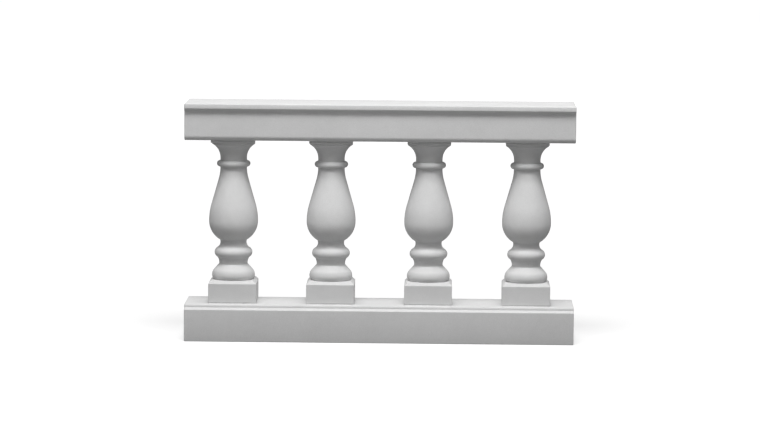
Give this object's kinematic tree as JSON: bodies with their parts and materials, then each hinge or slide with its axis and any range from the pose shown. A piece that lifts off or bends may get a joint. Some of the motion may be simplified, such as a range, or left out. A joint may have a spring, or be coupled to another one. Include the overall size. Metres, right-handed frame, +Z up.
{
  "type": "stone balustrade bay",
  "caption": "Straight bay of cast stone balustrade: moulded bottom and top rails joined by vase-shaped balusters on square plinths, bedded in mortar.",
  "frame": {"origin": "centre of the bottom rail's underside", "axes": "+X along the run of the balustrade, +Y across it from the front face to the back, +Z up"},
  "size_m": [0.992, 0.17, 0.607],
  "materials": {
    "cast_stone": "smooth fine-grained cast stone, matt, pale grey",
    "mortar": "pale grey mortar, fine sand texture, matt"
  },
  "bodies": {
    "root": {"bottom_rail": "cast_stone", "foot_bed_1": "mortar", "baluster_1": "cast_stone", "head_bed_1": "mortar", "foot_bed_2": "mortar", "baluster_2": "cast_stone", "head_bed_2": "mortar", "foot_bed_3": "mortar", "baluster_3": "cast_stone", "head_bed_3": "mortar", "foot_bed_4": "mortar", "baluster_4": "cast_stone", "head_bed_4": "mortar", "top_rail": "cast_stone"}
  },
  "joints": []
}
